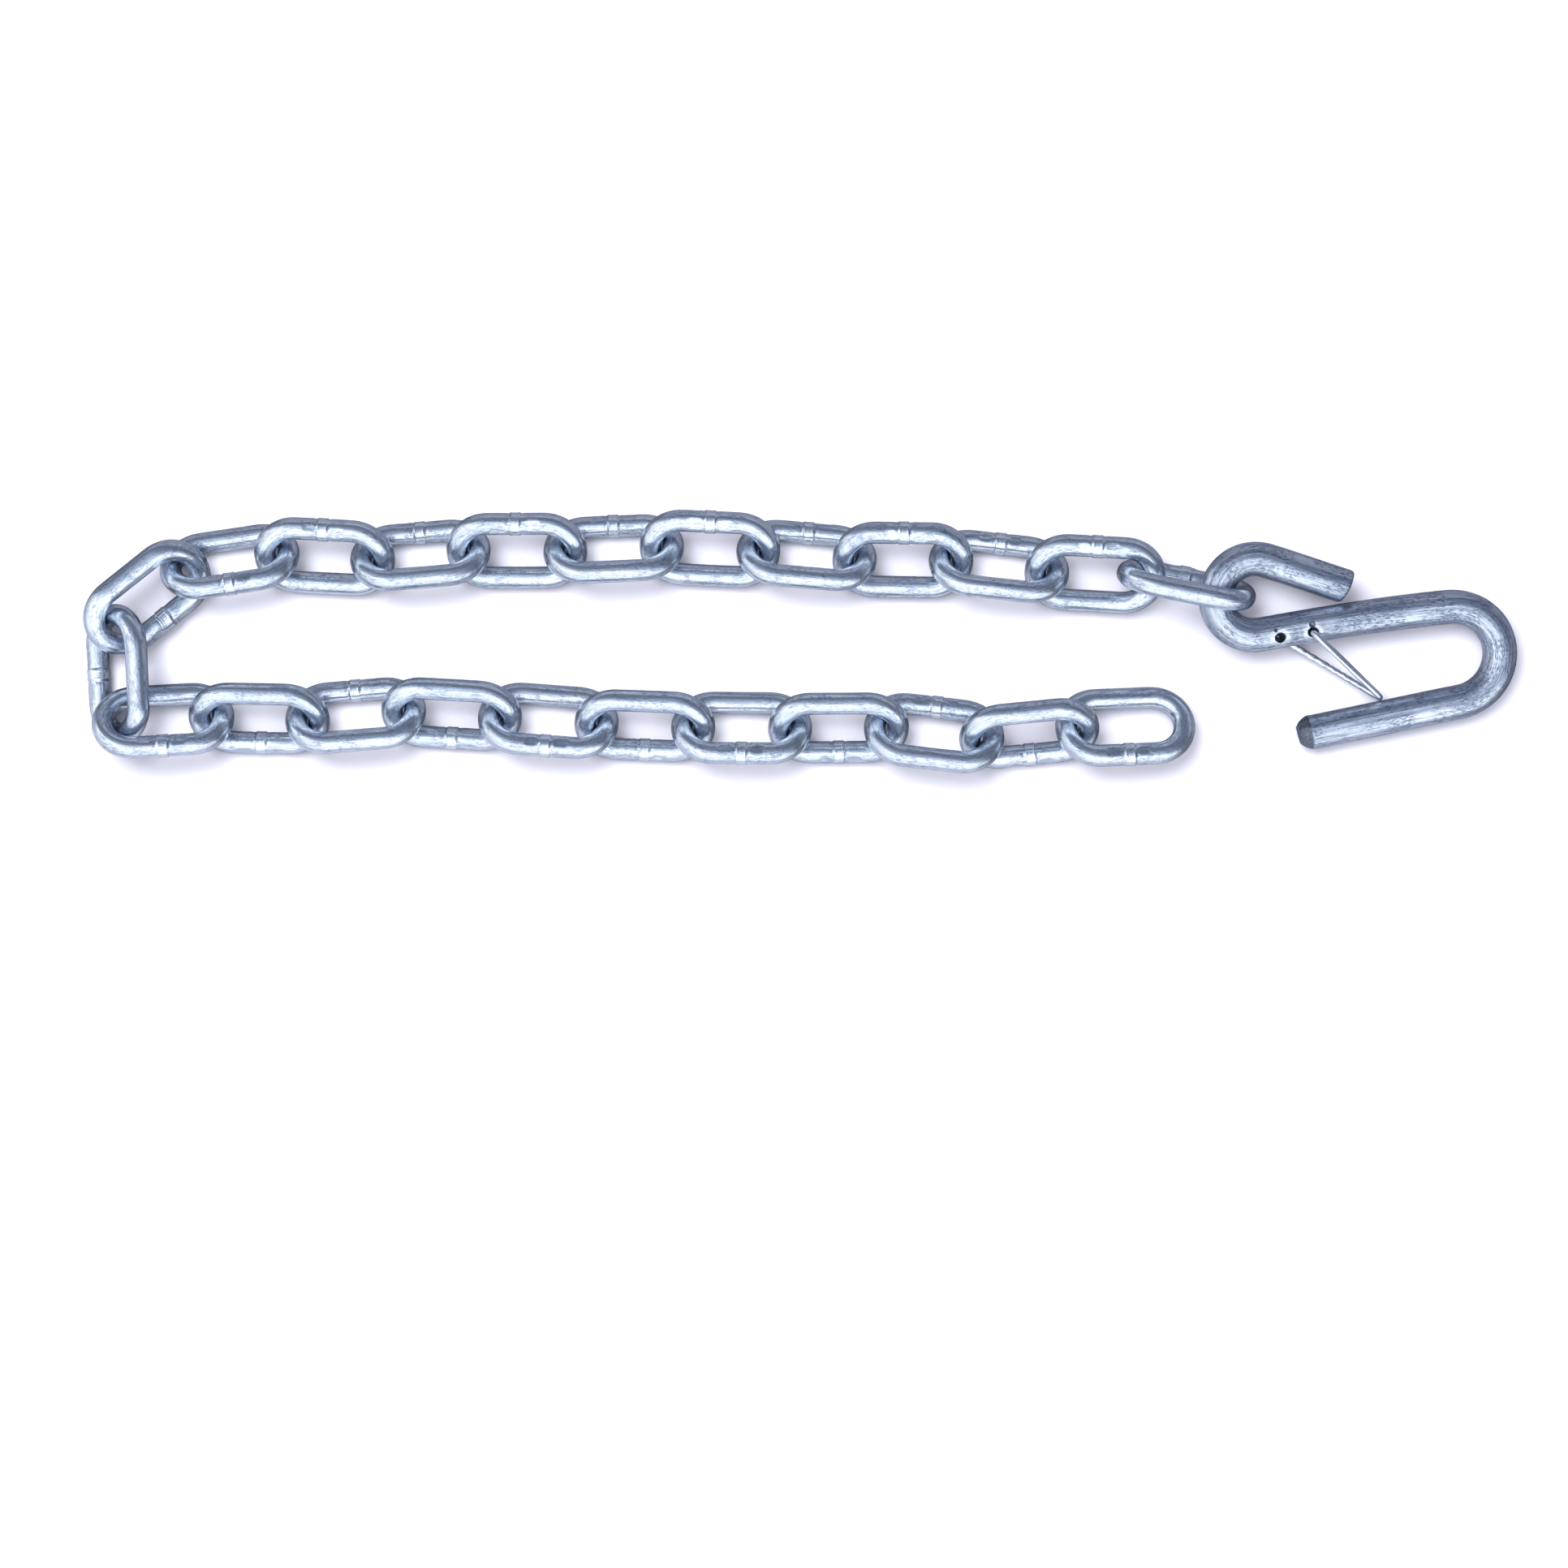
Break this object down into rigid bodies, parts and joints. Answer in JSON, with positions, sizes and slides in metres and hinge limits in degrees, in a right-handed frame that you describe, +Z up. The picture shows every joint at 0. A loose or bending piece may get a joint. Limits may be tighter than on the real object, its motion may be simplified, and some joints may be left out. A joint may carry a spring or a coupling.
{
  "type": "safety chain hook",
  "caption": "Safety chain for a trailer: a welded link chain with a bent round-bar slip hook and a spring wire latch, laid out in a hairpin.",
  "frame": {"origin": "centre of the laid-out chain's footprint, on the table plane", "axes": "+X along the run of the chain towards the hook's bow, +Y towards the strand that carries the hook, +Z up off the table"},
  "size_m": [0.4638, 0.0844, 0.0267],
  "materials": {
    "hook_bar": "bright clear zinc plate over drawn round bar, draw lines and bending marks showing",
    "spring_wire": "bright zinc plated spring wire",
    "link_wire": "bright clear zinc plate with a slight blue cast, smeared and streaked, over smooth wire"
  },
  "bodies": {
    "hook": {"hook": "hook_bar", "latch_end_front": "spring_wire", "latch_end_rear": "spring_wire"},
    "latch": {"latch_wire": "spring_wire"},
    "link_01": {"link_01": "link_wire"},
    "link_02": {"link_02": "link_wire"},
    "link_03": {"link_03": "link_wire"},
    "link_04": {"link_04": "link_wire"},
    "link_05": {"link_05": "link_wire"},
    "link_06": {"link_06": "link_wire"},
    "link_07": {"link_07": "link_wire"},
    "link_08": {"link_08": "link_wire"},
    "link_09": {"link_09": "link_wire"},
    "link_10": {"link_10": "link_wire"},
    "link_11": {"link_11": "link_wire"},
    "link_12": {"link_12": "link_wire"},
    "link_13": {"link_13": "link_wire"},
    "link_14": {"link_14": "link_wire"},
    "link_15": {"link_15": "link_wire"},
    "link_16": {"link_16": "link_wire"},
    "link_17": {"link_17": "link_wire"},
    "link_18": {"link_18": "link_wire"},
    "link_19": {"link_19": "link_wire"},
    "link_20": {"link_20": "link_wire"},
    "link_21": {"link_21": "link_wire"},
    "link_22": {"link_22": "link_wire"},
    "link_23": {"link_23": "link_wire"},
    "link_24": {"link_24": "link_wire"}
  },
  "joints": [
    {"name": "latch_swing", "type": "hinge", "parent": "hook", "child": "latch", "pos_m": [0.15934, 0.00266, 0.01076], "axis": [0.0308, -0.1516, 0.988], "range_deg": [0, 27], "stiffness_Nm_per_rad": 0.02, "springref_deg": -5.73},
    {"name": "link_01_swing", "type": "hinge", "parent": "hook", "child": "link_01", "pos_m": [0.13381, 0.01649, 0.01368], "axis": [0.1736, 0.9742, 0.1441], "range_deg": [-90, 90]},
    {"name": "link_02_swing", "type": "hinge", "parent": "link_01", "child": "link_02", "pos_m": [0.11429, 0.02098, 0.01108], "axis": [0.0487, 0.9436, 0.3275], "range_deg": [-90, 90]},
    {"name": "link_03_swing", "type": "hinge", "parent": "link_02", "child": "link_03", "pos_m": [0.07576, 0.023, 0.01028], "axis": [-0.047, -0.7783, -0.6262], "range_deg": [-90, 90]},
    {"name": "link_04_swing", "type": "hinge", "parent": "link_03", "child": "link_04", "pos_m": [0.0448, 0.02669, 0.01028], "axis": [-0.0578, -0.693, 0.7186], "range_deg": [-90, 90]},
    {"name": "link_05_swing", "type": "hinge", "parent": "link_04", "child": "link_05", "pos_m": [0.01364, 0.02676, 0.01035], "axis": [0.0284, 0.7738, 0.6328], "range_deg": [-90, 90]},
    {"name": "link_06_swing", "type": "hinge", "parent": "link_05", "child": "link_06", "pos_m": [-0.01744, 0.02975, 0.01035], "axis": [0.0532, 0.6939, -0.7181], "range_deg": [-90, 90]},
    {"name": "link_07_swing", "type": "hinge", "parent": "link_06", "child": "link_07", "pos_m": [-0.0487, 0.03102, 0.01021], "axis": [-0.0136, -0.763, -0.6462], "range_deg": [-90, 90]},
    {"name": "link_08_swing", "type": "hinge", "parent": "link_07", "child": "link_08", "pos_m": [-0.07986, 0.02939, 0.01021], "axis": [-0.0222, 0.7038, -0.7101], "range_deg": [-90, 90]},
    {"name": "link_09_swing", "type": "hinge", "parent": "link_08", "child": "link_09", "pos_m": [-0.11114, 0.02942, 0.01028], "axis": [0.0204, -0.7648, -0.6439], "range_deg": [-90, 90]},
    {"name": "link_10_swing", "type": "hinge", "parent": "link_09", "child": "link_10", "pos_m": [-0.14222, 0.02651, 0.01028], "axis": [0.0318, -0.6987, 0.7147], "range_deg": [-90, 90]},
    {"name": "link_11_swing", "type": "hinge", "parent": "link_10", "child": "link_11", "pos_m": [-0.17327, 0.02853, 0.01028], "axis": [0.0081, -0.764, -0.6452], "range_deg": [-90, 90]},
    {"name": "link_12_swing", "type": "hinge", "parent": "link_11", "child": "link_12", "pos_m": [-0.20377, 0.02315, 0.01028], "axis": [-0.1441, 0.595, -0.7907], "range_deg": [-70, 90]},
    {"name": "link_13_swing", "type": "hinge", "parent": "link_12", "child": "link_13", "pos_m": [-0.22579, 0.00211, 0.01408], "axis": [-0.5807, 0.4332, 0.6893], "range_deg": [-90, 45]},
    {"name": "link_14_swing", "type": "hinge", "parent": "link_13", "child": "link_14", "pos_m": [-0.21995, -0.02975, 0.00978], "axis": [0.5409, 0.2288, 0.8094], "range_deg": [-85, 4]},
    {"name": "link_15_swing", "type": "hinge", "parent": "link_14", "child": "link_15", "pos_m": [-0.18673, -0.02417, 0.01021], "axis": [-0.0665, 0.7612, -0.6451], "range_deg": [-90, 90]},
    {"name": "link_16_swing", "type": "hinge", "parent": "link_15", "child": "link_16", "pos_m": [-0.15578, -0.02502, 0.01021], "axis": [0.0084, -0.708, -0.7061], "range_deg": [-90, 90]},
    {"name": "link_17_swing", "type": "hinge", "parent": "link_16", "child": "link_17", "pos_m": [-0.12472, -0.02215, 0.01028], "axis": [0.029, -0.7568, 0.653], "range_deg": [-90, 90]},
    {"name": "link_18_swing", "type": "hinge", "parent": "link_17", "child": "link_18", "pos_m": [-0.09366, -0.0244, 0.01028], "axis": [-0.0433, -0.7009, -0.7119], "range_deg": [-90, 90]},
    {"name": "link_19_swing", "type": "hinge", "parent": "link_18", "child": "link_19", "pos_m": [-0.06244, -0.02676, 0.01021], "axis": [-0.0463, -0.7582, 0.6504], "range_deg": [-90, 90]},
    {"name": "link_20_swing", "type": "hinge", "parent": "link_19", "child": "link_20", "pos_m": [-0.03116, -0.02771, 0.01021], "axis": [0.0196, 0.706, 0.7079], "range_deg": [-90, 90]},
    {"name": "link_21_swing", "type": "hinge", "parent": "link_20", "child": "link_21", "pos_m": [0.00014, -0.02795, 0.01021], "axis": [-0.0032, -0.7597, 0.6503], "range_deg": [-90, 90]},
    {"name": "link_22_swing", "type": "hinge", "parent": "link_21", "child": "link_22", "pos_m": [0.03145, -0.02754, 0.01021], "axis": [-0.0091, -0.6953, -0.7186], "range_deg": [-90, 90]},
    {"name": "link_23_swing", "type": "hinge", "parent": "link_22", "child": "link_23", "pos_m": [0.06215, -0.03158, 0.01122], "axis": [0.0459, 0.8046, -0.592], "range_deg": [-90, 90]},
    {"name": "link_24_swing", "type": "hinge", "parent": "link_23", "child": "link_24", "pos_m": [0.09295, -0.02762, 0.01122], "axis": [-0.0261, 0.5931, 0.8047], "range_deg": [-90, 90]}
  ]
}
